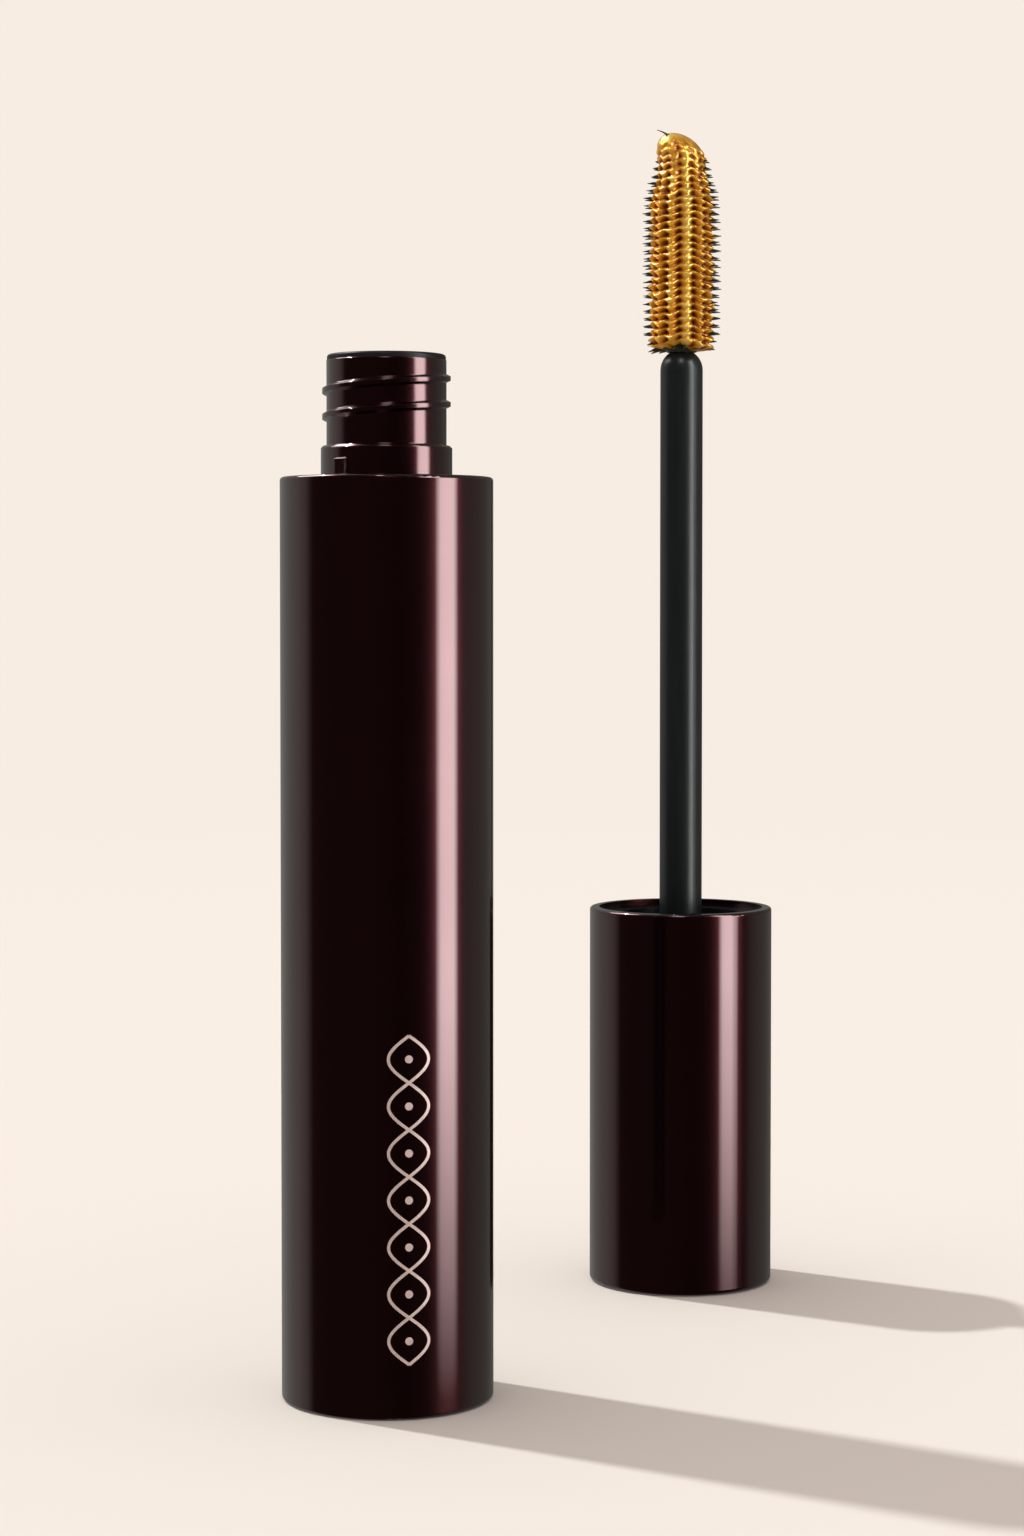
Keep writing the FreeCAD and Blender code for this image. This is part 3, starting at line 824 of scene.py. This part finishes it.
def paste_point(angle, height):
    """Place of the paste's skin, and its load there."""
    depth = BRUSH_LENGTH - height
    load = paste_load(angle, height)
    rough = noise.noise(around(2.6, angle, height * 0.9))
    fine = noise.noise(around(9.0, angle, height * 3.2))
    relief = ease(depth / TIP_RELIEF_DEPTH)
    blunt = math.sqrt(1 - (max(TIP_DEPTH - depth, 0) / TIP_DEPTH) ** TIP_BLUNTNESS)
    dome = TIP_RADIUS * blunt * (1 - TIP_RELIEF * relief * (1 - load))
    on_dome = ease((TIP_BLEND_START - depth) / TIP_BLEND_LENGTH)
    share = PASTE_FLOOR + (PASTE_CREST - PASTE_FLOOR) * load
    radius = dome * on_dome + reach_at(height) * share * (1 - on_dome)
    radius += (ROUGH_HEIGHT * rough + FINE_HEIGHT * fine) * min(depth, 1)
    start = PASTE_FOOT - FOOT_OVERLAP
    start += FOOT_GAP * peak(angle - FOOT_GAP_BEARING, FOOT_GAP_NARROWNESS)
    foot = ease((height - start) / (FOOT_RISE - FOOT_RISE_CHANGE * math.cos(angle)))
    radius = PASTE_BORE + (radius - PASTE_BORE) * foot
    lean = TIP_LEAN * max(1 - depth / TIP_LEAN_DEPTH, 0) ** TIP_LEAN_CURVE
    tip_load = TIP_LOAD + ROUGH_TIP_LOAD * rough
    load = load * relief + tip_load * (1 - relief) + ROUGH_LOAD * rough
    return around(radius, angle, height) + Vector((-lean, 0, 0)), load


def make_paste():
    """Ochre-gold mascara that loads the brush, as a cup that the brush's rod goes into."""
    shape = bmesh.new()
    turns = [2 * math.pi * turn / STEPS_ROUND for turn in range(STEPS_ROUND)]
    rings = [[shape.verts.new(around(PASTE_BORE, turn, PASTE_BORE_END)) for turn in turns]]
    loads = [HIDDEN_LOAD] * STEPS_ROUND
    for step in range(STEPS_UP + 1):
        share = step / STEPS_UP
        height = PASTE_FOOT + (PASTE_END - PASTE_FOOT) * share
        ring = []
        for turn in turns:
            point, load = paste_point(turn, height)
            ring.append(shape.verts.new(point))
            loads.append(load)
        rings.append(ring)
    join_rings(shape, rings)
    for ring, order in ((rings[0], -1), (rings[-1], 1)):
        middle = sum((vertex.co for vertex in ring), Vector()) / len(ring)
        hub = shape.verts.new(middle)
        loads.append(HIDDEN_LOAD)
        for turn in range(STEPS_ROUND):
            following = (turn + order) % STEPS_ROUND
            shape.faces.new((ring[turn], ring[following], hub))
    piece = to_object(shape, "brush_paste", BRUSH_PLACE, BRUSH_GOLD_SHADED)
    # The load also sets the paste's colour: painted shade in the low gaps and painted light on
    # the high crests
    attribute = piece.data.attributes.new("load", "FLOAT", "POINT")
    attribute.data.foreach_set("value", loads)
    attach(piece, "applicator")


# Stray fibre: places from the middle of the brush's end, and the radius at each
FIBRE_LINE = [(-0.9, -0.5, -0.5), (-1.5, -0.9, -0.3), (-2.0, -1.1, -0.05), (-2.6, -1.2, 0.15)]
FIBRE_RADII = [0.2, 0.13, 0.07, 0.03]


def make_stray_fibre():
    """Thin drawn-out thread of dried paste at the tip."""
    end = Vector((0, 0, BRUSH_LENGTH))
    shape = bmesh.new()
    add_tube(shape, [end + Vector(place) for place in FIBRE_LINE], FIBRE_RADII)
    piece = to_object(shape, "stray_fibre", BRUSH_PLACE, BRISTLE)
    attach(piece, "applicator")


make_bristles()
make_paste()
make_stray_fibre()


# Foil ornament on the bottle: two interlaced waves with a bead in each lobe

ORNAMENT_LOW = 4.8
ORNAMENT_LOBES = 7
ORNAMENT_BEARING = math.radians(-76.5)
LOBE_LENGTH = 4.0
LOBE_REACH = 1.75
LOBE_STEPS = 24
STROKE = 0.26
BEAD_RADIUS = 0.34
BEAD_SIDES = 24
FOIL_FOOT = -0.01
FOIL_RISE = 0.012
SHARP_ANGLE = math.radians(30)


def on_bottle(across, height, rise):
    """Point on the bottle's wall, from a place on the flat artwork."""
    radius = BODY_RADIUS / MM + rise
    return around(radius, ORNAMENT_BEARING + across * MM / BODY_RADIUS, height)


def add_stroke(shape, line):
    """Flat ribbon of foil along a line of (across, height) places."""
    rows = []
    for index, (across, height) in enumerate(line):
        before = line[max(index - 1, 0)]
        after = line[min(index + 1, len(line) - 1)]
        along = Vector((after[0] - before[0], after[1] - before[1])).normalized()
        side = Vector((-along.y, along.x)) * STROKE / 2
        row = []
        for sign, rise in ((-1, FOIL_FOOT), (1, FOIL_FOOT), (1, FOIL_RISE), (-1, FOIL_RISE)):
            place = on_bottle(across + side.x * sign, height + side.y * sign, rise)
            row.append(shape.verts.new(place))
        rows.append(row)
    add_skin(shape, rows)


def add_bead(shape, height):
    """Small round dot of foil."""
    centre_low = shape.verts.new(on_bottle(0, height, FOIL_FOOT))
    centre_high = shape.verts.new(on_bottle(0, height, FOIL_RISE))
    low, high = [], []
    for step in range(BEAD_SIDES):
        turn = 2 * math.pi * step / BEAD_SIDES
        across, up = BEAD_RADIUS * math.cos(turn), height + BEAD_RADIUS * math.sin(turn)
        low.append(shape.verts.new(on_bottle(across, up, FOIL_FOOT)))
        high.append(shape.verts.new(on_bottle(across, up, FOIL_RISE)))
    for step in range(BEAD_SIDES):
        after = (step + 1) % BEAD_SIDES
        shape.faces.new((high[step], high[after], centre_high))
        shape.faces.new((low[after], low[step], centre_low))
        shape.faces.new((low[step], low[after], high[after], high[step]))


def make_ornament():
    shape = bmesh.new()
    for side in (-1, 1):
        line = []
        for step in range(ORNAMENT_LOBES * LOBE_STEPS + 1):
            across = side * LOBE_REACH * math.sin(math.pi * step / LOBE_STEPS)
            line.append((across, ORNAMENT_LOW + LOBE_LENGTH * step / LOBE_STEPS))
        add_stroke(shape, line)
    for lobe in range(ORNAMENT_LOBES):
        add_bead(shape, ORNAMENT_LOW + LOBE_LENGTH * (lobe + 0.5))
    bmesh.ops.recalc_face_normals(shape, faces=shape.faces)
    piece = to_object(shape, "foil_ornament", Vector((0, 0, 0)), rose_foil())
    smooth_by_angle(piece.data, SHARP_ANGLE)
    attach(piece, "bottle")


make_ornament()
